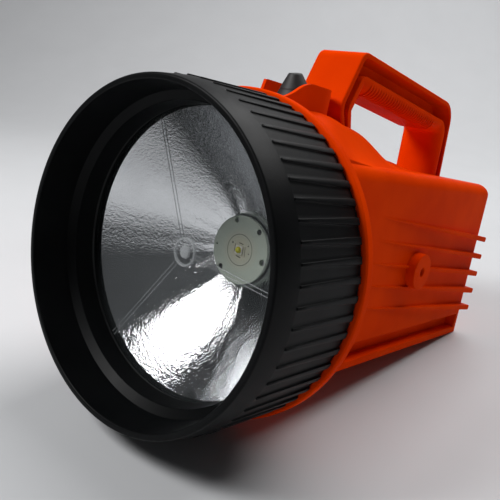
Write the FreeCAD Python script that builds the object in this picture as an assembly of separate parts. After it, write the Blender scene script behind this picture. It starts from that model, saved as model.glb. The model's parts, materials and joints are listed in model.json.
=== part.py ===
import FreeCAD, Part
import math
import os

from FreeCAD import Vector

# Hand lantern for fire crews: a round screw-on head, a square battery box and a carrying handle.
# It is modelled with its beam axis on Y (beam towards -Y), the battery box behind the head and +Z up.
# The last step stands it on a level surface: the flange and the foot's rear edge touch, nose up.
# All sizes are in millimetres.

# --- head ---------------------------------------------------------------------------------------
RIM_R = 62.0              # outer radius of the bezel's front rim
BEZEL_R = 63.3            # outer radius of the bezel's grip band, between its ribs
BEZEL_REAR = 45.5         # where the bezel ends
GRIP_FRONT = 10.2         # where the grip band and its ribs begin
RIBS = 62
RIB_ANGLE = 1.2           # angle of the first rib, in degrees
RIB_FRONT_HALF = 0.45     # half width and height of a rib where it begins
RIB_FRONT_HEIGHT = 0.5
RIB_REAR_HALF = 1.45
RIB_REAR_HEIGHT = 1.0
MOUTH_R = 59.6            # inner radius just inside the rim
MOUTH_STEP_Y = 15.5
MOUTH_STEP_R = 58.8
LIP_FRONT_Y = 17.8
LIP_FRONT_R = 55.5
LIP_REAR_Y = 26.3
LIP_REAR_R = 55.1
THREAD_R = 60.9           # inner radius of the bezel's sleeve
THREAD_FIT = 0.1          # radial clearance of the sleeve on the collar

O_RING_R = 62.3
O_RING_WIRE_R = 0.85
O_RING_Y = 46.7

LENS_R = 60.2
LENS_FRONT = 27.5
LENS_THICK = 2.6
LENS_BOSS_R = 5.7
LENS_RIB_ANGLES = (118.0, 234.0, 355.0)

REFLECTOR_MOUTH_R = 55.5
REFLECTOR_NECK_R = 14.9
REFLECTOR_SCALE = 93.3    # four times the focal length of its curve
REFLECTOR_VERTEX = 64.2
REFLECTOR_WALL = 1.4

BOARD_R = 14.35
BOARD_FRONT = 59.5
BOARD_THICK = 1.6
BOARD_HOLE_R = 12.7       # pitch radius of the holes round the board
HEAT_SINK_REAR = 77.1
BOARD_HOLES = ((110.0, 1.25), (49.5, 1.2), (351.0, 1.4), (228.0, 1.25), (182.5, 0.5))

# --- housing ------------------------------------------------------------------------------------
COLLAR_FRONT = 33.0
COLLAR_BORE_R = 57.2
FLANGE_R = 65.6
FLANGE_FRONT = 46.0
FLANGE_REAR = 50.6
DOME_REAR = 92.4
DOME_BULGE = 0.8          # how far the dome's side stands out from a straight cone
DOME_R = 62.0             # the dome's widest radius, at the flange
ROOT_R = 63.4             # radius of the short cone between flange and dome
ROOT_LENGTH = 1.2
SHOULDER_CROWN = ((47.0, 62.4), (72.0, 61.4), (92.0, 59.6), (104.0, 58.2), (113.0, 55.2),
                  (121.0, 51.4), (132.0, 48.0), (146.0, 44.4))   # middle line, as (y, z)
SHOULDER_FLAT = 13.0      # half width of the level middle
SHOULDER_REACH = (48.0, 34.0)   # half width where it meets the sides, at its front and rear
SHOULDER_SIDE = (43.0, 43.9)    # height there, at its front and rear
SHOULDER_INSET = 4.0
BOX_HALF = 42.0           # half width of the battery box
BOX_TOP = 44.6
BOX_REAR = 218.9
BOX_WALL = 2.6
SHELF_Z = -30.2           # lower edge of the box's side walls
FOOT_Z = -41.2            # underside of the foot
FOOT_THICK = 3.2
CHANNEL_HALF = 34.2       # half width of the narrow lower part that hugs the battery
FIN_COUNT = 5
FIN_TOP_Z = 14.6          # height of the top fin at the box's rear
FIN_PITCH = 10.0
FIN_SLOPE = 0.083
FIN_THICK = 2.8           # thickness at the rear
FIN_POINT = 0.5           # thickness at the front
FIN_ROUND = 1.3
FIN_HEIGHT = 3.9          # how far a fin stands out at the rear
FIN_OVERHANG = 1.2        # how far a fin runs past the box's rear face
FIN_ROOT = 1.2            # how deep a fin is rooted in the wall
FIN_SINK = 0.1            # how far a fin's front point lies below the wall's surface
FIN_START = 92.0
BOSS_Y = 139.0
BOSS_Z = 0.0
BOSS_R = 8.6
BOSS_FACE = 46.4
BOSS_HOLE_R = 2.25
BOSS_HOLE_DEPTH = 9.0

HANDLE_HALF = 12.0        # half width of the handle
HANDLE_SKIN = 2.4
HANDLE_EDGE = 0.8         # rounding of the outer band's edges
WEB_THICK = 3.0
GRIP_DEPTH = 7.5          # depth of the rounded inner band
GRIP_ROUND = 6.4
RIDGES = 30
RIDGE_PITCH = 2.6
RIDGE_WIDTH = 1.1
RIDGE_HEIGHT = 0.35

# --- switch -------------------------------------------------------------------------------------
SWITCH_Y = 77.5
GUARD_HALF = 12.5
GUARD_WALL = 1.7
GUARD_TOP = 71.8
GUARD_ROUND_Y = 80.0      # centre of the guard's rounded rear end
DECK_Z = 60.6             # floor inside the guard
DECK_THICK = 3.0
LEVER_LEAN = 14.0         # the lever rests this far forward of upright, in degrees
PIVOT_Z = 58.6
SWITCH_HOLE_R = 6.1
LUG_PITCH = 8.0
BOOT_R = 8.6
BOOT_RIM = 7.1            # boot's lower rim and its tip, above the pivot
BOOT_TOP = 17.8
BUSHING_R = 6.0

# --- battery ------------------------------------------------------------------------------------
BATTERY_SIDE = 67.0
BATTERY_LENGTH = 102.0
PAD_THICK = 3.0
BATTERY_CENTRE_Z = -4.2
CONTACT_Y = 99.0          # rear face of the contact carrier
SPRING_TURNS = 4
SPRING_WIRE_R = 0.7
LEAD_R = 0.8

EPS = 0.01
parts = {}


def revolve(points):
    """Turn a closed (radius, y) outline about the beam axis."""
    wire = Part.makePolygon([Vector(r, y, 0) for r, y in points + points[:1]])
    return Part.Face(wire).revolve(Vector(), Vector(0, 1, 0), 360)


def bulged(wide, narrow, front):
    """Solid dome between two (radius, y) points, with a slightly convex side."""
    start = Vector(*wide, 0)
    end = Vector(*narrow, 0)
    out = Vector(start.y - end.y, end.x - start.x, 0).normalize() * -DOME_BULGE
    edges = [Part.Arc(start, (start + end) / 2 + out, end).toShape()]
    corners = [end, Vector(0, end.y, 0), Vector(0, front, 0), Vector(start.x, front, 0), start]
    edges += [Part.LineSegment(a, b).toShape() for a, b in zip(corners, corners[1:])
              if a.distanceToPoint(b) > EPS]
    return Part.Face(Part.Wire(edges)).revolve(Vector(), Vector(0, 1, 0), 360)


def ring(inner, outer, front, rear):
    if inner <= 0:
        return Part.makeCylinder(outer, rear - front, Vector(0, front, 0), Vector(0, 1, 0))
    return revolve([(inner, front), (outer, front), (outer, rear), (inner, rear)])


def box(x0, x1, y0, y1, z0, z1):
    return Part.makeBox(x1 - x0, y1 - y0, z1 - z0, Vector(x0, y0, z0))


def on_circle(radius, degrees, y):
    a = math.radians(degrees)
    return Vector(radius * math.cos(a), y, radius * math.sin(a))


def rounded_wire(corners, x=0.0):
    """Closed wire in the YZ plane from (y, z, corner radius) points."""
    count = len(corners)
    edges = []
    ends = []
    for i in range(count):
        y, z, r = corners[i]
        here = Vector(x, y, z)
        before = Vector(x, *corners[i - 1][:2]) - here
        after = Vector(x, *corners[(i + 1) % count][:2]) - here
        if r == 0:
            ends.append((here, here, None))
            continue
        before.normalize()
        after.normalize()
        half = before.getAngle(after) / 2
        reach = r / math.tan(half)
        middle = before + after
        middle.normalize()
        bulge = here + middle * (r / math.sin(half) - r)
        ends.append((here + before * reach, here + after * reach, bulge))
    for i in range(count):
        start, end, bulge = ends[i]
        if bulge:
            edges.append(Part.Arc(start, bulge, end).toShape())
        following = ends[(i + 1) % count][0]
        if end.distanceToPoint(following) > EPS:
            edges.append(Part.LineSegment(end, following).toShape())
    return Part.Wire(edges)


def slab(corners, x0, x1):
    """Prism across X from a rounded outline in the YZ plane."""
    return Part.Face(rounded_wire(corners, x0)).extrude(Vector(x1 - x0, 0, 0))


def edges_where(shape, test):
    return [edge for edge in shape.Edges if test(edge)]


def along(edge, direction):
    if not isinstance(edge.Curve, Part.Line):
        return False
    return abs(edge.tangentAt(edge.FirstParameter).dot(direction)) > 0.999


def mirrored(shape):
    return shape.mirror(Vector(), Vector(1, 0, 0))


def fuse_all(shapes):
    whole = shapes[0]
    for shape in shapes[1:]:
        whole = whole.fuse(shape)
    return whole.removeSplitter()


# --- head pieces --------------------------------------------------------------------------------

def make_rib():
    """One grip rib: a wedge that widens and rises towards the rear."""
    front = GRIP_FRONT + 0.4
    rear = BEZEL_REAR - 0.4
    sections = []
    for y, half, height in ((front, RIB_FRONT_HALF, RIB_FRONT_HEIGHT),
                            (rear, RIB_REAR_HALF, RIB_REAR_HEIGHT)):
        low = BEZEL_R - 1.0
        high = BEZEL_R + height
        corners = [Vector(low, y, -half), Vector(low, y, half), Vector(high, y, half * 0.85),
                   Vector(high, y, -half * 0.85)]
        sections.append(Part.makePolygon(corners + corners[:1]))
    return Part.makeLoft(sections, True, True)


def make_bezel():
    body = revolve([
        (MOUTH_R, 0.9), (RIM_R - 1.6, 0.0), (RIM_R - 0.5, 0.3), (RIM_R, 1.1),
        (BEZEL_R - 0.3, GRIP_FRONT - 0.4), (BEZEL_R, GRIP_FRONT), (BEZEL_R, BEZEL_REAR - 0.8),
        (BEZEL_R - 0.8, BEZEL_REAR), (THREAD_R, BEZEL_REAR), (THREAD_R, LIP_REAR_Y),
        (LIP_REAR_R, LIP_REAR_Y), (LIP_FRONT_R, LIP_FRONT_Y), (LIP_FRONT_R + 1.2, LIP_FRONT_Y - 0.8),
        (MOUTH_STEP_R, MOUTH_STEP_Y),
    ])
    ribs = []
    for i in range(RIBS):
        rib = make_rib()
        rib.rotate(Vector(), Vector(0, 1, 0), -360.0 * i / RIBS - RIB_ANGLE)
        ribs.append(rib)
    return body.fuse(ribs)


def make_lens():
    rear = LENS_FRONT + LENS_THICK
    disc = ring(0, LENS_R, LENS_FRONT, rear)
    boss = ring(LENS_BOSS_R - 1.0, LENS_BOSS_R, LENS_FRONT - 0.8, LENS_FRONT + EPS)
    dot = ring(0, 2.6, LENS_FRONT - 1.0, LENS_FRONT + EPS)
    ribs = []
    for angle in LENS_RIB_ANGLES:
        rib = Part.makeBox(LIP_REAR_R - LENS_BOSS_R - 1.5, 0.5 + EPS, 1.2,
                           Vector(LENS_BOSS_R - 0.5, LENS_FRONT - 0.5, -0.6))
        rib.rotate(Vector(), Vector(0, 1, 0), -angle)
        ribs.append(rib)
    return fuse_all([disc, boss, dot] + ribs)


def make_reflector():
    neck_y = REFLECTOR_VERTEX - REFLECTOR_NECK_R ** 2 / REFLECTOR_SCALE
    mouth_y = REFLECTOR_VERTEX - REFLECTOR_MOUTH_R ** 2 / REFLECTOR_SCALE
    steps = 24
    curve = []
    for i in range(steps + 1):
        r = REFLECTOR_MOUTH_R + (REFLECTOR_NECK_R - REFLECTOR_MOUTH_R) * i / steps
        curve.append(Vector(r, REFLECTOR_VERTEX - r * r / REFLECTOR_SCALE, 0))
    inner = Part.BSplineCurve()
    inner.interpolate(curve)
    outer = Part.BSplineCurve()
    outer.interpolate([p + Vector(REFLECTOR_WALL, REFLECTOR_WALL, 0) for p in curve])
    rim_r = LENS_R - 0.2
    rim_rear = mouth_y + 1.8
    top = [outer.StartPoint, Vector(rim_r, rim_rear, 0), Vector(rim_r, mouth_y, 0), inner.StartPoint]
    corners = [Part.LineSegment(a, b).toShape() for a, b in zip(top, top[1:])
               if a.distanceToPoint(b) > EPS]
    base = Part.LineSegment(inner.EndPoint, outer.EndPoint).toShape()
    wire = Part.Wire(Part.__sortEdges__([inner.toShape(), base, outer.toShape()] + corners))
    bowl = Part.Face(wire).revolve(Vector(), Vector(0, 1, 0), 360)
    sleeve = ring(REFLECTOR_NECK_R, REFLECTOR_NECK_R + REFLECTOR_WALL, neck_y + 0.5, neck_y + 6)
    return bowl.fuse(sleeve)


def make_led_board():
    board = ring(0, BOARD_R, BOARD_FRONT, BOARD_FRONT + BOARD_THICK)
    for angle, radius in BOARD_HOLES:
        centre = on_circle(BOARD_HOLE_R, angle, BOARD_FRONT - 1)
        board = board.cut(Part.makeCylinder(radius, BOARD_THICK + 2, centre, Vector(0, 1, 0)))
    return board


def make_led():
    front = BOARD_FRONT - 0.7
    parts["led_emitter"] = box(-1.75, 1.75, front, BOARD_FRONT, -1.75, 1.75)
    dome = Part.makeSphere(1.4, Vector(0, front, 0)).common(box(-2, 2, front - 2, front, -2, 2))
    parts["led_phosphor"] = dome


def make_module():
    """The heat sink that carries the board, and the driver behind it."""
    seat = BOARD_FRONT + BOARD_THICK
    outer = BOARD_R + 5.5
    fins = [ring(BOARD_R - 1, outer, y, y + 1.6) for y in (HEAT_SINK_REAR - 8.6, HEAT_SINK_REAR - 5.1,
                                                         HEAT_SINK_REAR - 1.6)]
    parts["heat_sink"] = fuse_all([ring(0, BOARD_R, seat, HEAT_SINK_REAR)] + fins)
    screws = []
    for angle, radius in (BOARD_HOLES[1], BOARD_HOLES[3]):
        centre = on_circle(BOARD_HOLE_R, angle, BOARD_FRONT + 0.5)
        screws.append(Part.makeCylinder(radius - 0.1, BOARD_THICK - 0.5, centre, Vector(0, 1, 0)))
    parts["board_screws"] = Part.makeCompound(screws)
    front = HEAT_SINK_REAR + 1.9
    rear = front + 1.6
    parts["driver_board"] = ring(0, 17.0, front, rear)
    parts["driver_inductor"] = ring(0, 4.5, rear, rear + 5.4).translated(Vector(8, 0, 3))
    parts["driver_capacitor"] = ring(0, 3.2, rear, rear + 8.0).translated(Vector(-8, 0, -3))


# --- housing ------------------------------------------------------------------------------------

def shoulder_section(y, top):
    """One cross-section of the shoulder: level in the middle, easing down to the box's top edge."""
    start, end = SHOULDER_CROWN[0][0], SHOULDER_CROWN[-1][0]
    share = (y - start) / (end - start)
    reach = SHOULDER_REACH[0] + (SHOULDER_REACH[1] - SHOULDER_REACH[0]) * share
    side = SHOULDER_SIDE[0] + (SHOULDER_SIDE[1] - SHOULDER_SIDE[0]) * share
    half = BOX_HALF - SHOULDER_INSET
    count = 12
    points = []
    for i in range(count + 1):
        x = -half + 2 * half * i / count
        t = min(max((abs(x) - SHOULDER_FLAT) / (reach - SHOULDER_FLAT), 0.0), 1.0)
        points.append(Vector(x, y, side + (top - side) * math.cos(t * math.pi / 2) ** 2))
    crown = Part.BSplineCurve()
    crown.interpolate(points)
    low = BOX_HALF / 2
    return Part.Wire([
        crown.toShape(),
        Part.LineSegment(points[-1], Vector(half, y, low)).toShape(),
        Part.LineSegment(Vector(half, y, low), Vector(-half, y, low)).toShape(),
        Part.LineSegment(Vector(-half, y, low), points[0]).toShape(),
    ])


def make_shoulder():
    return Part.makeLoft([shoulder_section(y, top) for y, top in SHOULDER_CROWN], True)


def box_outline():
    front = FLANGE_FRONT + 1.0
    shell = box(-BOX_HALF, BOX_HALF, front, BOX_REAR, FOOT_Z, BOX_TOP)
    rear_top = edges_where(shell, lambda e: along(e, Vector(1, 0, 0)) and e.CenterOfMass.z > 0
                           and e.CenterOfMass.y > front + 1)
    upright = edges_where(shell, lambda e: along(e, Vector(0, 0, 1)) and e.CenterOfMass.y > front + 1)
    long_top = edges_where(shell, lambda e: along(e, Vector(0, 1, 0)) and e.CenterOfMass.z > 0)
    shell = shell.makeFillet(6.0, long_top + rear_top)
    upright = edges_where(shell, lambda e: along(e, Vector(0, 0, 1)) and e.CenterOfMass.y > front + 1)
    shell = shell.makeFillet(1.5, upright)
    # the inset bands along both sides, between the side walls and the foot
    groove = box(CHANNEL_HALF + BOX_WALL, BOX_HALF + 1, 40, BOX_REAR - 4.5,
                 FOOT_Z + FOOT_THICK, SHELF_Z)
    return shell.cut(groove).cut(mirrored(groove))


def make_fins():
    """Five fins on one side; each grows from a thin point at the front to full size at the rear."""
    fins = []
    rear = BOX_REAR + FIN_OVERHANG
    root = BOX_HALF - FIN_ROOT
    for i in range(FIN_COUNT):
        z_rear = FIN_TOP_Z - FIN_PITCH * i
        z_front = z_rear + FIN_SLOPE * (rear - FIN_START)
        sections = []
        for y, z, tip, half in ((FIN_START, z_front, BOX_HALF - FIN_SINK, FIN_POINT / 2),
                                (rear, z_rear, BOX_HALF + FIN_HEIGHT, FIN_THICK / 2)):
            corners = [Vector(root, y, z - half), Vector(tip, y, z - half),
                       Vector(tip, y, z + half), Vector(root, y, z + half)]
            sections.append(Part.makePolygon(corners + corners[:1]))
        fin = Part.makeLoft(sections, True, True)
        ends = edges_where(fin, lambda e: e.CenterOfMass.y > rear - EPS and along(e, Vector(1, 0, 0)))
        fins.append(fin.makeFillet(FIN_ROUND, ends))
    return fins


def make_side_boss():
    pad_in = CHANNEL_HALF + 0.6
    return Part.makeCylinder(BOSS_R, BOSS_FACE - BOX_HALF + 1.5,
                             Vector(BOX_HALF - 1.5, BOSS_Y, BOSS_Z), Vector(1, 0, 0)).fuse(
        Part.makeCylinder(5.0, BOX_HALF - pad_in, Vector(pad_in, BOSS_Y, BOSS_Z), Vector(1, 0, 0)))


def boss_hole():
    return Part.makeCylinder(BOSS_HOLE_R, BOSS_HOLE_DEPTH + 1,
                             Vector(BOSS_FACE - BOSS_HOLE_DEPTH, BOSS_Y, BOSS_Z), Vector(1, 0, 0))


GRIP_START = (107.6, 82.8)     # front and rear corners of the inner band, as (y, z)
GRIP_END = (210.2, 75.1)
HANDLE_OUTER = [(110.0, 38.0, 0), (93.6, 66.5, 9.0), (105.0, 93.0, 6.0), (215.2, 86.0, 13.0),
                (219.6, 38.0, 0)]
HANDLE_MIDDLE = [(118.0, 20.0, 0), (100.2, 66.5, 7.0), (*GRIP_START, 4.5), (*GRIP_END, 9.0),
                 (212.8, 20.0, 0)]


def make_handle():
    """Two bands joined by a thin web; the inner one is rounded for the hand."""
    half = HANDLE_HALF
    outer = slab(HANDLE_OUTER, -half, half)
    outer = outer.makeFillet(HANDLE_EDGE, edges_where(
        outer, lambda e: abs(abs(e.CenterOfMass.x) - half) < EPS and e.BoundBox.ZMax > 40))
    middle = slab(HANDLE_MIDDLE, -half, half)
    skin_inside = Part.Face(rounded_wire(HANDLE_OUTER, -half).makeOffset2D(-HANDLE_SKIN))
    outer_band = outer.cut(skin_inside.extrude(Vector(2 * half, 0, 0)))
    hole_face = Part.Face(rounded_wire(HANDLE_MIDDLE, -half).makeOffset2D(-GRIP_DEPTH))
    hole = hole_face.extrude(Vector(2 * half, 0, 0))
    hole_box = hole.BoundBox
    inner_band = middle.cut(hole)
    rims = edges_where(inner_band, lambda e: abs(abs(e.CenterOfMass.x) - half) < EPS
                       and e.BoundBox.YMin > hole_box.YMin - EPS
                       and e.BoundBox.YMax < hole_box.YMax + EPS
                       and e.BoundBox.ZMin > hole_box.ZMin - EPS
                       and e.BoundBox.ZMax < hole_box.ZMax + EPS)
    inner_band = inner_band.makeFillet(GRIP_ROUND, rims)
    web = outer.cut(hole).common(box(-WEB_THICK / 2, WEB_THICK / 2, 80, 230, 30, 100))
    above = box(-half - 1, half + 1, 80, 125, 46.0, 100).fuse(
        box(-half - 1, half + 1, 120, 230, BOX_TOP - 2, 100))
    return fuse_all([outer_band, inner_band, web]).common(above)


def make_ridges():
    """Fine cross ridges along the underside of the grip."""
    slope = math.atan2(GRIP_END[1] - GRIP_START[1], GRIP_END[0] - GRIP_START[0])
    along_grip = Vector(0, math.cos(slope), math.sin(slope))
    across_grip = Vector(0, -math.sin(slope), math.cos(slope))
    origin = Vector(0, *GRIP_START)
    depth = GRIP_DEPTH + RIDGE_HEIGHT
    round_r = GRIP_ROUND + RIDGE_HEIGHT
    half = HANDLE_HALF
    ridges = []
    for i in range(RIDGES):
        at = origin + along_grip * (9.0 + RIDGE_PITCH * i)
        block = Part.makeBox(2 * half, RIDGE_WIDTH, depth - 1.5, Vector(-half, 0, -depth))
        block = block.makeFillet(round_r - 1.5, edges_where(
            block, lambda e: along(e, Vector(0, 1, 0)) and e.CenterOfMass.z < -depth + EPS))
        block.rotate(Vector(), Vector(1, 0, 0), math.degrees(slope))
        block.translate(at)
        ridges.append(block)
    return ridges


def guard_outline(x_half, rear_r):
    """Plan of the U-shaped switch guard: straight arms and a round rear end."""
    front = FLANGE_REAR - 1.0
    left = Vector(-x_half, front, 0)
    right = Vector(x_half, front, 0)
    left_bend = Vector(-x_half, GUARD_ROUND_Y, 0)
    right_bend = Vector(x_half, GUARD_ROUND_Y, 0)
    tip = Vector(0, GUARD_ROUND_Y + rear_r, 0)
    return Part.Face(Part.Wire([
        Part.LineSegment(left, right).toShape(),
        Part.LineSegment(right, right_bend).toShape(),
        Part.Arc(right_bend, tip, left_bend).toShape(),
        Part.LineSegment(left_bend, left).toShape(),
    ]))


GUARD_SCOOP = [(FLANGE_REAR - 2, 63.4), (56.1, 65.5), (59.5, 67.4), (62.9, 69.6), (67.0, 71.3),
               (72.0, GUARD_TOP)]   # the near wall's top edge, as (y, z)


def make_guard():
    """The raised wall round the switch: scooped low at the front and cut away for the thumb at -X."""
    height = Vector(0, 0, GUARD_TOP - 50)
    wall = guard_outline(GUARD_HALF, GUARD_HALF).extrude(height).translated(Vector(0, 0, 50))
    scoop = Part.BSplineCurve()
    scoop.interpolate([Vector(-GUARD_HALF - 1, y, z) for y, z in GUARD_SCOOP])
    rear = Vector(-GUARD_HALF - 1, 96, 0)
    corners = [scoop.EndPoint, rear + Vector(0, 0, GUARD_TOP), rear + Vector(0, 0, 48),
               Vector(-GUARD_HALF - 1, FLANGE_REAR - 2, 48), scoop.StartPoint]
    edges = [scoop.toShape()] + [Part.LineSegment(a, b).toShape() for a, b in zip(corners, corners[1:])]
    side_view = Part.Face(Part.Wire(edges)).extrude(Vector(2 * GUARD_HALF + 2, 0, 0))
    thumb_gap = slab([(FLANGE_REAR + 0.2, GUARD_TOP + 2, 0), (FLANGE_REAR + 0.2, DECK_Z, 0),
                      (66.0, DECK_Z, 4.0), (69.5, GUARD_TOP + 2, 0)], -GUARD_HALF - 1, 0)
    return wall.common(side_view).cut(thumb_gap)


def guard_room():
    """The space inside the guard, above the deck."""
    inner_half = GUARD_HALF - GUARD_WALL
    plan = guard_outline(inner_half, inner_half)
    room = plan.extrude(Vector(0, 0, 30)).translated(Vector(0, 0, DECK_Z))
    front_lip = box(-40, 40, 40, FLANGE_REAR + EPS, 0, 100)
    return room.cut(front_lip)


def make_housing():
    root_rear = FLANGE_REAR + ROOT_LENGTH
    dome = bulged((DOME_R, root_rear), (BOX_HALF - 0.2, DOME_REAR), FLANGE_REAR - 2)
    root = revolve([(0, FLANGE_REAR - 2), (ROOT_R, FLANGE_REAR - 2), (ROOT_R, FLANGE_REAR),
                    (DOME_R, root_rear), (0, root_rear)])
    flange = revolve([(0, FLANGE_FRONT), (FLANGE_R - 0.6, FLANGE_FRONT), (FLANGE_R, FLANGE_FRONT + 0.6),
                      (FLANGE_R, FLANGE_REAR - 0.8), (FLANGE_R - 0.8, FLANGE_REAR), (0, FLANGE_REAR)])
    seal_groove = ring(O_RING_R - O_RING_WIRE_R, O_RING_R + O_RING_WIRE_R, FLANGE_FRONT - 0.1,
                       O_RING_Y + O_RING_WIRE_R)
    collar = ring(0, THREAD_R - THREAD_FIT, COLLAR_FRONT, FLANGE_FRONT + EPS)
    outer = [dome, root, flange, collar, box_outline(), make_shoulder(), make_handle()]
    outer += make_fins() + [mirrored(fin) for fin in make_fins()]
    boss = make_side_boss()
    outer += [boss, mirrored(boss), make_guard()] + make_ridges()
    shell = fuse_all(outer)
    wall_in = BOX_HALF - BOX_WALL
    rear_in = BOX_REAR - BOX_WALL
    room = fuse_all([
        ring(0, COLLAR_BORE_R, COLLAR_FRONT - 1, 52.0),
        bulged((COLLAR_BORE_R, 51.9), (41.5, 86.0), 51.9),
        box(-wall_in, wall_in, 78.0, rear_in, SHELF_Z + BOX_WALL, BOX_TOP - BOX_WALL),
        box(-CHANNEL_HALF, CHANNEL_HALF, 84.0, rear_in, FOOT_Z + FOOT_THICK, SHELF_Z + BOX_WALL + 1),
        box(-16, 16, 60.0, 94.0, 30.0, DECK_Z - DECK_THICK),
    ])
    pad = Part.makeCylinder(5.0, wall_in - CHANNEL_HALF + 1 - 0.4,
                            Vector(CHANNEL_HALF + 0.4, BOSS_Y, BOSS_Z), Vector(1, 0, 0))
    room = room.cut(pad).cut(mirrored(pad))
    hole = boss_hole()
    switch_hole = Part.makeCylinder(SWITCH_HOLE_R, 10, Vector(0, SWITCH_Y, DECK_Z - 6))
    shell = shell.cut(seal_groove)
    return shell.cut(room).cut(guard_room()).cut(hole).cut(mirrored(hole)).cut(switch_hole)


# --- switch -------------------------------------------------------------------------------------

def upright(radius, z0, z1):
    return Part.makeCylinder(radius, z1 - z0, Vector(0, SWITCH_Y, z0))


def lean(shape):
    """Tip a lever piece forward to its rest position about the switch's pivot."""
    shape.rotate(Vector(0, SWITCH_Y, PIVOT_Z), Vector(1, 0, 0), LEVER_LEAN)
    return shape


def make_switch():
    under = DECK_Z - DECK_THICK
    parts["switch_body"] = box(-6.5, 6.5, SWITCH_Y - 13, SWITCH_Y + 13, under - 19.5, under - 1.5)
    parts["switch_seal"] = upright(8.0, under - 1.5, under).cut(upright(BUSHING_R, under - 2, under + 1))
    bushing = upright(BUSHING_R, under - 1.5, DECK_Z + 2.6)
    parts["switch_bushing"] = bushing.cut(upright(BUSHING_R - 1.6, under - 2, DECK_Z + 4))
    nut = upright(8.2, DECK_Z, DECK_Z + 2.2)
    parts["switch_nut"] = nut.cut(upright(BUSHING_R, DECK_Z - 1, DECK_Z + 4))
    lugs = [box(-3, 3, y - 0.5, y + 0.5, under - 26, under - 19.5)
            for y in (SWITCH_Y - LUG_PITCH, SWITCH_Y, SWITCH_Y + LUG_PITCH)]
    parts["switch_lugs"] = Part.makeCompound(lugs)
    ball = Part.makeSphere(2.4, Vector(0, SWITCH_Y, PIVOT_Z))
    stem = Part.makeCone(1.6, 2.3, 15.0, Vector(0, SWITCH_Y, PIVOT_Z))
    trunnion = Part.makeCylinder(0.8, 7.2, Vector(-3.6, SWITCH_Y, PIVOT_Z), Vector(1, 0, 0))
    parts["switch_lever"] = lean(ball.fuse(stem).fuse(trunnion))
    rim = Vector(0, SWITCH_Y, PIVOT_Z + BOOT_RIM)
    cone = Part.makeCone(BOOT_R, 3.1, BOOT_TOP - BOOT_RIM, rim)
    cone = cone.makeFillet(1.4, edges_where(cone, lambda e: e.BoundBox.ZMin > PIVOT_Z + BOOT_TOP - 1))
    hollow = Part.makeCone(BOOT_R - 1.2, 2.32, BOOT_TOP - BOOT_RIM - 2.8, rim)
    parts["switch_boot"] = lean(cone.cut(hollow))


# --- battery, contacts and wiring -----------------------------------------------------------------

def battery_front():
    return BOX_REAR - BOX_WALL - PAD_THICK - BATTERY_LENGTH


def make_battery():
    front = battery_front()
    split = front + 6.0
    rear = front + BATTERY_LENGTH
    half = BATTERY_SIDE / 2
    low = BATTERY_CENTRE_Z - half
    high = BATTERY_CENTRE_Z + half
    case = box(-half, half, split, rear, low, high)
    lid = box(-half, half, front, split, low, high)
    for name, block in (("battery_case", case), ("battery_lid", lid)):
        corners = edges_where(block, lambda e: along(e, Vector(0, 1, 0)))
        parts[name] = block.makeFillet(5.0, corners)
    parts["battery_pad"] = box(-half + 2, half - 2, rear, rear + PAD_THICK, low + 2, high - 2)


def coil_spring(radius, height, x, z, y0):
    """Battery spring: a plain helix of round wire along the beam axis."""
    helix = Part.makeLongHelix(height / SPRING_TURNS, height, radius)
    start = Part.Wire(Part.makeCircle(SPRING_WIRE_R, Vector(radius, 0, 0), Vector(0, 1, 0)))
    spring = Part.Wire(helix).makePipeShell([start], True, True)
    spring.rotate(Vector(), Vector(1, 0, 0), -90)
    return spring.translated(Vector(x, y0, z))


def make_contacts():
    front = CONTACT_Y - 2.5
    plate = box(-31, 31, front, CONTACT_Y, -31, 31)
    plate = plate.makeFillet(8.0, edges_where(plate, lambda e: along(e, Vector(0, 1, 0))))
    carrier = plate.fuse(ring(17.5, 19.5, HEAT_SINK_REAR, front)).removeSplitter()
    lead_slot = box(-3.4, -0.2, HEAT_SINK_REAR - 1, SWITCH_Y + LUG_PITCH + 1.6, 15, 21)
    parts["contact_carrier"] = carrier.cut(lead_slot)
    brass_rear = CONTACT_Y + 0.6
    z = BATTERY_CENTRE_Z
    centre = Part.makeCylinder(9.0, brass_rear - CONTACT_Y, Vector(0, CONTACT_Y, z), Vector(0, 1, 0))
    corner_x = -BATTERY_SIDE / 2 + 13.0
    corner_z = z + BATTERY_SIDE / 2 - 13.0
    parts["centre_contact"] = centre
    parts["corner_contact"] = box(corner_x - 9, corner_x + 9, CONTACT_Y, brass_rear,
                                  corner_z - 9, corner_z + 9)
    wire = SPRING_WIRE_R
    height = battery_front() - brass_rear - 2 * wire
    parts["centre_spring"] = coil_spring(6.5, height, 0, z, brass_rear + wire)
    parts["corner_spring"] = coil_spring(6.5, height, corner_x, corner_z, brass_rear + wire)


def lead(points, bend):
    """Insulated wire in one plane: two straight runs joined by a tangent arc."""
    start, corner, end = points
    before = (start - corner).normalize()
    after = (end - corner).normalize()
    middle = (before + after).normalize()
    bulge = corner + middle * (bend * (math.sqrt(2) - 1))
    path = Part.Wire([
        Part.LineSegment(start, corner + before * bend).toShape(),
        Part.Arc(corner + before * bend, bulge, corner + after * bend).toShape(),
        Part.LineSegment(corner + after * bend, end).toShape(),
    ])
    section = Part.Wire(Part.makeCircle(LEAD_R, start, before))
    return path.makePipeShell([section], True, False)


def make_leads():
    lug_tip = DECK_Z - DECK_THICK - 26.0
    driver_rear = HEAT_SINK_REAR + 3.5
    near_y = SWITCH_Y + LUG_PITCH
    parts["driver_lead"] = lead([Vector(-1.8, near_y, lug_tip), Vector(-1.8, near_y, 12.0),
                                 Vector(-1.8, driver_rear, 12.0)], near_y - driver_rear - 0.2)
    far_y = SWITCH_Y - LUG_PITCH
    parts["battery_lead"] = lead([Vector(1.8, far_y, lug_tip), Vector(1.8, far_y, 25.5),
                                  Vector(1.8, CONTACT_Y - 2.5, 25.5)], 4.0)


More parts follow.
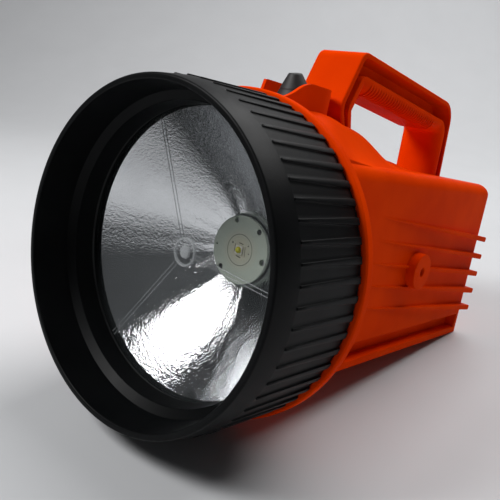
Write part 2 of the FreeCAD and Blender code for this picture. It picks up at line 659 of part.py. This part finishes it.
def make_o_ring():
    return Part.makeTorus(O_RING_R, O_RING_WIRE_R, Vector(0, O_RING_Y, 0), Vector(0, 1, 0))


def build():
    parts["housing"] = make_housing()
    parts["bezel"] = make_bezel()
    parts["lens"] = make_lens()
    parts["lens_gasket"] = ring(LIP_REAR_R + 0.6, LENS_R, LIP_REAR_Y + 0.2, LENS_FRONT)
    parts["collar_o_ring"] = make_o_ring()
    parts["reflector"] = make_reflector()
    parts["led_board"] = make_led_board()
    make_led()
    make_module()
    make_switch()
    make_battery()
    make_contacts()
    make_leads()


def stand():
    """Tip everything nose up about the flange's lowest point and centre it over the origin."""
    touch_y = FLANGE_REAR - 0.8
    tilt = math.degrees(math.atan2(FLANGE_R + FOOT_Z, BOX_REAR - touch_y))
    touch = Vector(0, touch_y, -FLANGE_R)
    for shape in parts.values():
        shape.rotate(touch, Vector(1, 0, 0), -tilt)
    whole = Part.makeCompound([parts["housing"], parts["bezel"]]).optimalBoundingBox(False, False)
    shift = Vector(0, -(whole.YMin + whole.YMax) / 2, FLANGE_R)
    for shape in parts.values():
        shape.translate(shift)
    print("tilt", tilt, "touch", touch_y, -FLANGE_R, "shift", shift.y, shift.z)


if __name__ == "__main__":
    os.makedirs("parts", exist_ok=True)
    build()
    stand()
    for name, shape in parts.items():
        shape.exportStep("parts/%s.step" % name)
        print(name, shape.isValid(), len(shape.Solids), round(shape.Volume))
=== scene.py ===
import bmesh
import bpy
import json
import math
from mathutils import Matrix, Vector


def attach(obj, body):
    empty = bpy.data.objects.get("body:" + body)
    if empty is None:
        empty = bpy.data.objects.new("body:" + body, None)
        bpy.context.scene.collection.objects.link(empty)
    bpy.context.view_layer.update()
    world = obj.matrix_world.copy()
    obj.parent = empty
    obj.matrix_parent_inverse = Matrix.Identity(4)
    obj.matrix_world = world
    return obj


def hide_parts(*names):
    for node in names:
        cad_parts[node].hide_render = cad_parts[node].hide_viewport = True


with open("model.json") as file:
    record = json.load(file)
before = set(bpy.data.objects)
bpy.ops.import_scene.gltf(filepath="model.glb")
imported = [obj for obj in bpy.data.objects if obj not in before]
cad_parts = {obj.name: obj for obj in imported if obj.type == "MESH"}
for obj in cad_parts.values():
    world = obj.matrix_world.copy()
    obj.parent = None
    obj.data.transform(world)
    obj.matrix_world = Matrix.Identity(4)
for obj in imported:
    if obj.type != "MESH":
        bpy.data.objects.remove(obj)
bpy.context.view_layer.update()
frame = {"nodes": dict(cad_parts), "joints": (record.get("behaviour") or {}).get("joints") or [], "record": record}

# Hand lantern for fire crews. The pieces are laid out in the lantern's own frame, in millimetres:
# origin at the centre of the bezel's front rim, +Y back along the beam axis, +Z up, +X to the side.
# place() carries them into the row frame, where the lantern stands nose up.

MM = 0.001
joints = {joint["name"]: joint for joint in frame["joints"]}
beam = Vector(joints["bezel_turn"]["axis"]).normalized()
HUB_Y = 20.0                  # the bezel joint's position on the beam axis, in the lantern's frame
back = -beam
side = Vector((1, 0, 0))
rim_centre = Vector(joints["bezel_turn"]["pos_m"]) + beam * HUB_Y * MM
up = side.cross(back)
TURN = Matrix((side, back, up)).transposed()
TO_ROW = Matrix.Translation(rim_centre) @ TURN.to_4x4() @ Matrix.Scale(MM, 4)

# --- mesh building --------------------------------------------------------------------------------


def place(name, vertices, faces, matrix=TO_ROW, sharp=35.0):
    """A smooth-shaded object in the row frame from lantern-frame millimetres."""
    mesh = bpy.data.meshes.new(name)
    mesh.from_pydata([matrix @ Vector(v) for v in vertices], [], faces)
    mesh.update()
    mesh.polygons.foreach_set("use_smooth", [True] * len(mesh.polygons))
    mesh.set_sharp_from_angle(angle=math.radians(sharp))
    obj = bpy.data.objects.new(name, mesh)
    bpy.context.scene.collection.objects.link(obj)
    return obj


def rounded(outline, steps=4):
    """Rounds the corners of a closed (r, y, fillet) outline."""
    result = []
    count = len(outline)
    for i, (r, y, fillet) in enumerate(outline):
        here = Vector((r, y))
        if fillet == 0:
            result.append((r, y))
            continue
        before = Vector(outline[i - 1][:2]) - here
        after = Vector(outline[(i + 1) % count][:2]) - here
        reach = fillet / math.tan(before.angle(after) / 2)
        a = here + before.normalized() * reach
        b = here + after.normalized() * reach
        for k in range(steps + 1):
            t = k / steps
            p = a * (1 - t) ** 2 + here * 2 * t * (1 - t) + b * t ** 2
            result.append((p.x, p.y))
    return result


def revolve(name, outline, columns=192, matrix=TO_ROW):
    """Turns a closed (r, y) outline about the beam axis."""
    vertices, faces = [], []
    rows = len(outline)
    for c in range(columns):
        a = 2 * math.pi * c / columns
        vertices += [(r * math.cos(a), y, r * math.sin(a)) for r, y in outline]
    for c in range(columns):
        d = (c + 1) % columns
        for i in range(rows):
            j = (i + 1) % rows
            faces.append((c * rows + i, c * rows + j, d * rows + j, d * rows + i))
    obj = place(name, vertices, faces, matrix)
    tidy_mesh(obj)
    return obj


def tidy_mesh(obj):
    """Merges points on the axis and turns every face outwards."""
    work = bmesh.new()
    work.from_mesh(obj.data)
    bmesh.ops.remove_doubles(work, verts=work.verts, dist=2e-6)
    bmesh.ops.dissolve_degenerate(work, edges=work.edges, dist=1e-6)
    bmesh.ops.recalc_face_normals(work, faces=work.faces)
    work.to_mesh(obj.data)
    work.free()


def bar(name, start, end, width, height, y):
    """A rounded bar lying on a plane of constant y, between two (x, z) points."""
    a, b = Vector(start), Vector(end)
    run = (b - a).normalized()
    across = Vector((-run.y, run.x))
    vertices, faces = [], []
    ring = [(-0.5, 0.0), (-0.42, 0.6), (-0.2, 0.95), (0.2, 0.95), (0.42, 0.6), (0.5, 0.0)]
    stations = [(0.0, 0.55), (0.35, 0.9), (0.8, 1.0)]
    length = (b - a).length
    cuts = [(s * width * 0.5, f) for s, f in stations]
    cuts += [(length - s * width * 0.5, f) for s, f in reversed(stations)]
    for along, full in cuts:
        for u, v in ring:
            p = a + run * along + across * (u * width * full)
            vertices.append((p.x, y - v * height * full, p.y))
    n = len(ring)
    for k in range(len(cuts) - 1):
        for i in range(n):
            j = (i + 1) % n
            faces.append((k * n + i, k * n + j, (k + 1) * n + j, (k + 1) * n + i))
    faces.append(tuple(range(n)))
    faces.append(tuple(range((len(cuts) - 1) * n, len(cuts) * n)))
    obj = place(name, vertices, faces)
    tidy_mesh(obj)
    return obj


# --- pieces ---------------------------------------------------------------------------------------

GRIP_R = 63.3                 # radius of the grip band between its ribs
GRIP_START = 10.2
BEZEL_REAR = 45.5
RIBS = 62
RIB_PHASE = 1.2               # angle of the first rib, in degrees
RIB_START = 10.5
RIB_HALF = (0.45, 1.45)       # half width at the front and at the rear
RIB_HEIGHT = (0.5, 1.0)
# a rib's cross-section: (place across it in half widths, share of its height)
RIB_SECTION = [(-1.15, 0.0), (-1.0, 0.1), (-0.86, 0.9), (-0.66, 1.0), (0.0, 1.0), (0.66, 1.0),
               (0.86, 0.9), (1.0, 0.1), (1.15, 0.0)]
LANDS = (0.25, 0.5, 0.75)     # extra columns in the land between two ribs


def rib_share(y):
    """How far along a rib this y is, from 0 at its front to 1 at its rear."""
    return min(max((y - RIB_START) / (BEZEL_REAR - RIB_START), 0.0), 1.0)


def rib_rise(y):
    """Height of a rib at this y, with a blunt front end and a rounded rear end."""
    height = RIB_HEIGHT[0] + (RIB_HEIGHT[1] - RIB_HEIGHT[0]) * rib_share(y)
    front = min(max((y - RIB_START) / 0.3, 0.0), 1.0)
    rear = min(max((BEZEL_REAR - y) / 0.5, 0.0), 1.0)
    return height * math.sqrt(front) * math.sqrt(rear)


def make_bezel():
    outline = rounded([
        (59.6, 0.15, 0.7), (62.0, 0.15, 0.9), (GRIP_R, GRIP_START, 0.0),
        (GRIP_R, 10.48, 0), (GRIP_R, 10.56, 0), (GRIP_R, 10.66, 0), (GRIP_R, 10.82, 0),
        (GRIP_R, 16.0, 0), (GRIP_R, 24.0, 0), (GRIP_R, 32.0, 0), (GRIP_R, 40.0, 0),
        (GRIP_R, 44.4, 0), (GRIP_R, BEZEL_REAR, 0.6), (60.9, BEZEL_REAR, 0.4), (60.9, 26.3, 0.3),
        (55.1, 26.3, 0.4), (55.4, 20.0, 0), (55.5, 17.8, 0.5), (58.8, 15.5, 0.5), (59.0, 12.0, 0),
        (59.3, 6.0, 0),
    ])
    pitch = 2 * math.pi / RIBS
    vertices, faces = [], []
    rows = len(outline)
    per_rib = len(RIB_SECTION) + len(LANDS)
    for i in range(RIBS):
        middle = math.radians(RIB_PHASE) + pitch * i
        for c in range(per_rib):
            for r, y in outline:
                half = (RIB_HALF[0] + (RIB_HALF[1] - RIB_HALF[0]) * rib_share(y)) / GRIP_R
                lift = 0.0
                if c < len(RIB_SECTION):
                    across, share = RIB_SECTION[c]
                    angle = middle + across * half
                    if r > 61.6 and y > RIB_START:
                        lift = rib_rise(y) * share
                else:
                    edge = RIB_SECTION[-1][0] * half
                    angle = middle + edge + (pitch - 2 * edge) * LANDS[c - len(RIB_SECTION)]
                vertices.append(((r + lift) * math.cos(angle), y, (r + lift) * math.sin(angle)))
    columns = RIBS * per_rib
    for c in range(columns):
        d = (c + 1) % columns
        for i in range(rows):
            j = (i + 1) % rows
            faces.append((c * rows + i, c * rows + j, d * rows + j, d * rows + i))
    obj = place("bezel_ring_grip", vertices, faces, sharp=50.0)
    tidy_mesh(obj)
    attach(obj, "bezel_ring")
    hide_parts("bezel")
    return obj


LENS_FRONT = 27.5
LENS_REAR = 30.1
LENS_R = 60.2
RIB_ANGLES = (118.0, 234.0, 355.0)
LINE_OFFSET = 0.75            # the two lines of a lens rib stand this far either side of its middle
LINE_WIDTH = 0.32


def make_lens():
    """The clear disc, with a small ring and dot at its centre and three pairs of raised lines."""
    disc = revolve("lens_disc", rounded([
        (0.0, LENS_FRONT, 0), (LENS_R, LENS_FRONT, 0.3), (LENS_R, LENS_REAR, 0.3), (0.0, LENS_REAR, 0),
    ]), 128)
    raised = [
        revolve("lens_boss_ring", rounded([(4.5, LENS_FRONT, 0), (4.8, 26.6, 0.25), (5.5, 26.6, 0.25),
                                           (5.8, LENS_FRONT, 0)]), 64),
        revolve("lens_boss_dot", rounded([(0.0, 26.8, 0), (2.3, 26.8, 0.3), (2.6, LENS_FRONT, 0),
                                          (0.0, LENS_FRONT, 0)]), 48),
    ]
    for n, degrees in enumerate(RIB_ANGLES):
        a = math.radians(degrees)
        out = Vector((math.cos(a), math.sin(a)))
        across = Vector((-out.y, out.x))
        for hand, offset in (("left", -LINE_OFFSET), ("right", LINE_OFFSET)):
            aside = across * offset
            raised.append(bar("lens_rib_%d_%s" % (n + 1, hand), out * 5.4 + aside, out * 54.6 + aside,
                              LINE_WIDTH, 0.4, LENS_FRONT))
    for piece in [disc] + raised:
        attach(piece, "lens_unit")
    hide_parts("lens")
    return disc, raised


BOWL_SCALE = 93.3             # four times the focal length
BOWL_VERTEX = 64.2
BOWL_MOUTH_R = 55.5
BOWL_NECK_R = 14.9
BOWL_WALL = 1.4
BOWL_RIM_R = 60.0
BOWL_RIM_THICK = 1.8
BOWL_RIM_EDGE = 0.4           # the small slope at the rim's front corner
BOWL_SLEEVE = 6.0             # length of the straight sleeve behind the neck


def make_reflector():
    steps = 56
    inner, outer = [], []
    for i in range(steps + 1):
        r = BOWL_NECK_R + (BOWL_MOUTH_R - BOWL_NECK_R) * i / steps
        y = BOWL_VERTEX - r * r / BOWL_SCALE
        inner.append((r, y))
        outer.append((r + BOWL_WALL * 0.75, y + BOWL_WALL))
    mouth_y = inner[-1][1]
    neck_y = inner[0][1]
    rim = [(BOWL_RIM_R - BOWL_RIM_EDGE, mouth_y), (BOWL_RIM_R, mouth_y + BOWL_RIM_EDGE),
           (BOWL_RIM_R, mouth_y + BOWL_RIM_THICK)]
    sleeve_y = neck_y + BOWL_SLEEVE
    sleeve = [(BOWL_NECK_R + BOWL_WALL, sleeve_y), (BOWL_NECK_R, sleeve_y)]
    obj = revolve("reflector_bowl", inner + rim + outer[::-1] + sleeve, 240)
    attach(obj, "body")
    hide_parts("reflector")
    return obj


BOARD_FRONT = 59.5
BOARD_EDGE_R = 14.4
BOARD_RING_R = 6.56           # the thin dark circle printed round the LED
BOARD_RING_HALF = 0.12


def make_board_hole_shades():
    """Dark flat bars on the board over its small holes: painted shade standing in for the dark inside the holes.
    """
    marks = [
        ((-0.9, 2.9), (1.5, 2.7), 0.30), ((-1.4, -2.7), (1.2, -3.1), 0.42), ((2.7, 1.9), (3.1, -2.3), 0.26),
        ((-2.6, 2.1), (-2.7, -1.5), 0.26), ((-4.3, 2.6), (-4.2, 1.9), 0.75), ((4.2, 2.9), (4.2, 2.4), 0.55),
        ((5.0, -0.2), (5.0, -0.7), 0.5),
    ]
    made = []
    for n, (a, b, width) in enumerate(marks):
        mark = bar("board_mark_%d" % (n + 1), a, b, width, 0.06, BOARD_FRONT)
        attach(mark, "body")
        made.append(mark)
    return made


SWITCH_Y = 77.5
PIVOT_Z = 58.6
LEVER_LEAN = 14.0


def make_boot():
    """The rubber boot, turned about the lever's own axis."""
    tip = Matrix.Translation((0, SWITCH_Y, PIVOT_Z)) @ Matrix.Rotation(math.radians(LEVER_LEAN), 4, "X")
    stand_up = Matrix.Rotation(math.radians(90), 4, "X")
    boot = revolve("switch_boot_rubber", rounded([
        (0.0, 15.0, 0), (2.2, 14.6, 0.4), (7.3, 7.1, 0.3), (8.6, 7.1, 0.3), (8.6, 8.1, 0.4),
        (7.8, 8.6, 0.3), (6.2, 11.4, 0.4), (6.0, 12.1, 0.4), (3.4, 16.7, 0.9), (2.8, 17.8, 0.5),
        (0.0, 17.8, 0),
    ]), 72, matrix=TO_ROW @ tip @ stand_up)
    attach(boot, "toggle")
    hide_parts("switch_boot")
    return boot


# --- materials ------------------------------------------------------------------------------------

def srgb(red, green, blue):
    """Linear colour from 0-255 display values."""
    def linear(value):
        v = value / 255.0
        return v / 12.92 if v <= 0.04045 else ((v + 0.055) / 1.055) ** 2.4
    return (linear(red), linear(green), linear(blue), 1.0)


class Surface:
    """A Principled material whose textures run in the lantern's own frame, in millimetres."""

    def __init__(self, name):
        self.material = bpy.data.materials.new(name)
        self.material.use_nodes = True
        self.tree = self.material.node_tree
        self.shader = self.tree.nodes["Principled BSDF"]
        coords = self.add("ShaderNodeTexCoord")
        self.mapping = self.add("ShaderNodeMapping")
        self.mapping.vector_type = "TEXTURE"
        self.mapping.inputs["Location"].default_value = rim_centre
        self.mapping.inputs["Rotation"].default_value = TURN.to_euler()
        self.mapping.inputs["Scale"].default_value = (MM, MM, MM)
        self.link(coords.outputs["Object"], self.mapping.inputs["Vector"])
        self.place = self.mapping.outputs["Vector"]

    def add(self, kind, **settings):
        node = self.tree.nodes.new(kind)
        for key, value in settings.items():
            setattr(node, key, value)
        return node

    def link(self, output, target):
        self.tree.links.new(output, target)

    def set(self, **values):
        for key, value in values.items():
            self.shader.inputs[key.replace("_", " ")].default_value = value

    def noise(self, size, detail=3.0, rough=0.5):
        """Noise with features about size millimetres across."""
        texture = self.add("ShaderNodeTexNoise")
        texture.inputs["Scale"].default_value = 1.0 / size
        texture.inputs["Detail"].default_value = detail
        texture.inputs["Roughness"].default_value = rough
        self.link(self.place, texture.inputs["Vector"])
        return texture.outputs["Fac"]

    def math3(self, operation, a, b):
        node = self.add("ShaderNodeVectorMath", operation=operation)
        for socket, value in zip(node.inputs, (a, b)):
            if isinstance(value, tuple):
                socket.default_value = value
            else:
                self.link(value, socket)
        return node.outputs["Value" if operation == "LENGTH" else "Vector"]

    def math(self, operation, a, b=0.0):
        node = self.add("ShaderNodeMath", operation=operation)
        for socket, value in zip(node.inputs, (a, b)):
            if isinstance(value, (int, float)):
                socket.default_value = value
            else:
                self.link(value, socket)
        return node.outputs[0]

    def ramp(self, value, stops):
        node = self.add("ShaderNodeValToRGB")
        elements = node.color_ramp.elements
        while len(elements) < len(stops):
            elements.new(0.5)
        for element, (position, colour) in zip(elements, stops):
            element.position = position
            element.color = colour if len(colour) == 4 else (*colour, 1.0)
        self.link(value, node.inputs["Fac"])
        return node.outputs["Color"]

    def mix(self, factor, a, b):
        node = self.add("ShaderNodeMix", data_type="RGBA")
        for socket, value in ((node.inputs[0], factor), (node.inputs[6], a), (node.inputs[7], b)):
            if isinstance(value, (int, float, tuple)):
                socket.default_value = value
            else:
                self.link(value, socket)
        return node.outputs[2]

    def colour(self, source):
        self.link(source, self.shader.inputs["Base Color"])

    def roughness(self, low, high, source):
        node = self.add("ShaderNodeMapRange")
        node.inputs["To Min"].default_value = low
        node.inputs["To Max"].default_value = high
        self.link(source, node.inputs["Value"])
        self.link(node.outputs["Result"], self.shader.inputs["Roughness"])

    def bump(self, source, depth_mm, edge_mm=0.0):
        """Surface texture of this depth; with edge_mm, hard edges catch light as if rounded."""
        node = self.add("ShaderNodeBump")
        node.inputs["Strength"].default_value = 1.0
        node.inputs["Distance"].default_value = depth_mm * MM
        self.link(source, node.inputs["Height"])
        if edge_mm:
            edge = self.add("ShaderNodeBevel", samples=6)
            edge.inputs["Radius"].default_value = edge_mm * MM
            self.link(edge.outputs["Normal"], node.inputs["Normal"])
        self.link(node.outputs["Normal"], self.shader.inputs["Normal"])


def moulded(name, dark, light, rough, grain_mm, depth_mm, edge_mm=0.0):
    """Moulded plastic or rubber: cloudy colour, slightly uneven gloss and a fine grain."""
    s = Surface(name)
    s.colour(s.mix(s.ramp(s.noise(26.0), [(0.35, (0, 0, 0)), (0.7, (1, 1, 1))]), dark, light))
    s.roughness(rough - 0.05, rough + 0.07, s.noise(9.0, 4.0))
    s.bump(s.noise(grain_mm, 2.0), depth_mm, edge_mm)
    return s


def metal(name, dark, light, rough, grain_mm):
    """Bare or plated metal with fine tool marks."""
    s = Surface(name)
    s.set(Metallic=1.0)
    s.colour(s.mix(s.noise(grain_mm * 6, 3.0, 0.6), dark, light))
    s.roughness(rough - 0.06, rough + 0.08, s.noise(grain_mm * 2, 2.0, 0.5))
    s.bump(s.noise(grain_mm, 2.0, 0.5), 0.01)
    return s


FAN_SCALE = 2.2
FAN_DEPTH = 1.6               # heights in millimetres
PEEL_DEPTH = 0.17


def make_housing_plastic():
    s = moulded("housing_plastic", srgb(219, 55, 0), srgb(232, 64, 0), 0.36, 0.9, 0.012, 0.7)
    s.set(IOR=1.03)
    return s.material


def make_bezel_plastic():
    s = moulded("bezel_plastic", srgb(6, 7, 8), srgb(11, 12, 13), 0.42, 0.45, 0.03, 0.2)
    s.set(Specular_IOR_Level=0.08)
    return s.material


def make_mirror():
    """Bright aluminised bowl: fine orange peel over faint fans that run out from the neck."""
    s = Surface("reflector_aluminised")
    s.set(Metallic=1.0)
    s.colour(s.mix(s.noise(18.0), srgb(214, 216, 218), srgb(236, 238, 240)))
    s.roughness(0.07, 0.16, s.noise(5.0, 4.0))
    flat = s.math3("MULTIPLY", s.place, (1.0, 0.0, 1.0))
    outward = s.math3("NORMALIZE", flat, (0.0, 0.0, 0.0))
    fans = s.add("ShaderNodeTexNoise")
    fans.inputs["Scale"].default_value = FAN_SCALE
    fans.inputs["Detail"].default_value = 1.0
    s.link(outward, fans.inputs["Vector"])
    height = s.math("ADD", s.math("MULTIPLY", fans.outputs["Fac"], FAN_DEPTH), s.math(
        "MULTIPLY", s.noise(1.1, 3.0, 0.65), PEEL_DEPTH))
    s.bump(height, 1.0)
    return s.material


def make_lens_clear(name, alpha, dark, light):
    s = Surface(name)
    s.set(Roughness=0.04, IOR=1.49, Alpha=alpha)
    s.colour(s.mix(s.noise(30.0), dark, light))
    s.bump(s.noise(14.0, 1.0), 0.01)
    return s.material


def make_board_surface():
    s = Surface("led_board_mask")
    flat = s.math3("MULTIPLY", s.place, (1.0, 0.0, 1.0))
    radius = s.math3("LENGTH", flat, (0.0, 0.0, 0.0))
    ring = s.math("LESS_THAN", s.math("ABSOLUTE", s.math("SUBTRACT", radius, BOARD_RING_R)),
                  BOARD_RING_HALF)
    warm = s.ramp(s.math("DIVIDE", radius, BOARD_EDGE_R),
                  [(0.25, srgb(178, 176, 156)), (0.7, srgb(168, 178, 166))])
    speckled = s.mix(s.math("MULTIPLY", s.noise(0.9, 4.0), 0.3), warm, srgb(150, 152, 140))
    s.colour(s.mix(ring, speckled, srgb(70, 74, 66)))
    s.roughness(0.42, 0.6, s.noise(2.0))
    s.bump(s.noise(0.5), 0.01)
    return s.material


FINISHES = {
    "seal": lambda: moulded("seal_rubber", srgb(22, 22, 22), srgb(34, 34, 34), 0.62, 0.5, 0.02),
    "ceramic": lambda: moulded("led_ceramic", srgb(205, 203, 190), srgb(220, 218, 206), 0.4, 0.3, 0.004),
    "phosphor": lambda: moulded(
        "led_phosphor_gel", srgb(176, 172, 26), srgb(206, 200, 52), 0.25, 0.4, 0.004),
    "heat_sink": lambda: metal("heat_sink_turned", srgb(168, 169, 171), srgb(196, 197, 199), 0.38, 0.5),
    "screw_black": lambda: moulded("screw_blacked", srgb(20, 21, 21), srgb(34, 35, 35), 0.45, 0.3, 0.006),
    "board_green": lambda: moulded(
        "driver_board_mask", srgb(18, 92, 44), srgb(26, 112, 54), 0.35, 0.4, 0.006),
    "ferrite": lambda: moulded("inductor_ferrite", srgb(66, 66, 68), srgb(84, 84, 86), 0.6, 0.4, 0.02),
    "capacitor": lambda: metal("capacitor_can", srgb(170, 171, 176), srgb(200, 201, 205), 0.3, 0.8),
    "switch_case": lambda: moulded(
        "switch_case_phenolic", srgb(34, 34, 36), srgb(50, 50, 52), 0.5, 0.6, 0.02),
    "switch_metal": lambda: metal("switch_plated", srgb(196, 197, 199), srgb(222, 223, 224), 0.22, 0.6),
    "contact_brass": lambda: metal(
        "contact_brass_strip", srgb(196, 160, 84), srgb(222, 188, 110), 0.32, 0.5),
    "battery_case": lambda: moulded("battery_wrap", srgb(40, 58, 74), srgb(52, 72, 90), 0.45, 1.4, 0.02),
    "battery_lid": lambda: moulded(
        "battery_lid_plastic", srgb(28, 28, 29), srgb(42, 42, 43), 0.5, 0.6, 0.02),
    "foam": lambda: moulded("pad_foam", srgb(54, 54, 56), srgb(84, 84, 86), 0.9, 0.8, 0.3),
    "carrier": lambda: moulded("carrier_plastic", srgb(32, 32, 34), srgb(48, 48, 50), 0.5, 0.6, 0.02),
    "spring_steel": lambda: metal("spring_wire", srgb(176, 177, 178), srgb(206, 207, 208), 0.28, 0.4),
    "lead_black": lambda: moulded(
        "lead_insulation_black", srgb(26, 26, 27), srgb(40, 40, 41), 0.5, 0.5, 0.01),
    "lead_red": lambda: moulded(
        "lead_insulation_red", srgb(150, 24, 20), srgb(176, 34, 28), 0.5, 0.5, 0.01),
    "boot": lambda: moulded("boot_rubber", srgb(20, 20, 21), srgb(36, 36, 37), 0.58, 0.5, 0.03),
    "housing": make_housing_plastic,
    "bezel": make_bezel_plastic,
    "reflector": make_mirror,
    "lens": lambda: make_lens_clear("lens_clear", 0.05, srgb(90, 96, 98), srgb(110, 116, 118)),
    "board_white": make_board_surface,
}


def paint(obj, material):
    obj.data.materials.clear()
    obj.data.materials.append(material)


def finish_of(slot):
    made = FINISHES[slot]()
    return made.material if isinstance(made, Surface) else made


materials = {slot: finish_of(slot) for slot in FINISHES}
for entry in frame["record"]["subparts"]:
    paint(frame["nodes"][entry["node"]], materials[entry["material_slot"]])

paint(make_bezel(), materials["bezel"])
lens_disc, lens_lines = make_lens()
paint(lens_disc, materials["lens"])
# The lens's raised lines, ring and dot are drawn pale grey and 42% opaque: a painted highlight standing in for the
# light these clear ribs catch.
rib_painted_highlight = make_lens_clear("lens_rib_painted_highlight", 0.42, srgb(160, 164, 166), srgb(186, 190, 192))
for line in lens_lines:
    paint(line, rib_painted_highlight)
paint(make_reflector(), materials["reflector"])
# Colour of the flat bars over the board's small holes: painted shade for the dark inside them.
painted_hole_shade = moulded("board_mark_ink", srgb(40, 42, 30), srgb(58, 58, 44), 0.5, 0.3, 0.004).material
for mark in make_board_hole_shades():
    paint(mark, painted_hole_shade)
paint(make_boot(), materials["boot"])

# --- floor, light and camera ----------------------------------------------------------------------

FLOOR_HALF = 2.2
SWEEP_START = 0.75            # where the paper behind the lantern begins to curve up
SWEEP_R = 0.6
SWEEP_TOP = 1.8
SWEEP_TURN = 41.0             # the paper's back faces the camera, in degrees


def make_floor():
    """A paper sweep: level under and in front of the lantern, curving up behind it."""
    profile = [(-FLOOR_HALF, 0.0), (SWEEP_START, 0.0)]
    for k in range(1, 17):
        a = math.radians(90.0 * k / 16)
        profile.append((SWEEP_START + SWEEP_R * math.sin(a), SWEEP_R * (1 - math.cos(a))))
    profile.append((SWEEP_START + SWEEP_R, SWEEP_TOP))
    vertices = [(x, y, z) for y, z in profile for x in (-FLOOR_HALF, FLOOR_HALF)]
    faces = [(2 * k, 2 * k + 1, 2 * k + 3, 2 * k + 2) for k in range(len(profile) - 1)]
    turned = Matrix.Rotation(math.radians(SWEEP_TURN), 4, "Z")
    floor = place("studio_floor", vertices, faces, turned)
    s = Surface("studio_paper")
    s.colour(s.mix(s.noise(60.0), srgb(196, 197, 199), srgb(202, 203, 205)))
    s.set(Roughness=0.85)
    paint(floor, s.material)


def area_light(name, position, target, size, power):
    data = bpy.data.lights.new(name, "AREA")
    data.shape = "RECTANGLE"
    data.size, data.size_y = size
    data.energy = power
    lamp = bpy.data.objects.new(name, data)
    lamp.location = position
    lamp.rotation_mode = "QUATERNION"
    lamp.rotation_quaternion = (Vector(position) - Vector(target)).to_track_quat("Z", "Y")
    bpy.context.scene.collection.objects.link(lamp)


CAMERA_AT = (0.15295, -0.23468, 0.13872)
CAMERA_AZIMUTH = 41.17
CAMERA_ELEVATION = 14.16
CAMERA_ROLL = 5.55
CAMERA_LENS = 43.5
CAMERA_SHIFT = (0.0479, -0.0709)


def make_camera():
    data = bpy.data.cameras.new("photo_camera")
    data.lens = CAMERA_LENS
    data.sensor_width = 36.0
    data.shift_x, data.shift_y = CAMERA_SHIFT
    data.clip_start = 0.01
    camera = bpy.data.objects.new("photo_camera", data)
    a, e = math.radians(CAMERA_AZIMUTH), math.radians(CAMERA_ELEVATION)
    away = Vector((math.sin(a) * math.cos(e), -math.cos(a) * math.cos(e), math.sin(e)))
    turn = away.to_track_quat("Z", "Y") @ Matrix.Rotation(math.radians(CAMERA_ROLL), 3, "Z").to_quaternion()
    camera.location = CAMERA_AT
    camera.rotation_mode = "QUATERNION"
    camera.rotation_quaternion = turn
    bpy.context.scene.collection.objects.link(camera)
    bpy.context.scene.camera = camera


make_floor()
area_light("soft", (0.1, 0.75, 1.3), (0.1, 0.1, 0.0), (1.2, 1.2), 22.0)
area_light("key", (-0.353, -0.611, 0.7), (0.0, 0.0, 0.06), (0.32, 0.3), 7.0)
world = bpy.data.worlds.new("studio")
world.use_nodes = True
background = world.node_tree.nodes["Background"]
background.inputs["Color"].default_value = (0.3, 0.31, 0.32, 1.0)
background.inputs["Strength"].default_value = 0.2
bpy.context.scene.world = world
bpy.context.scene.view_settings.view_transform = "Standard"
make_camera()
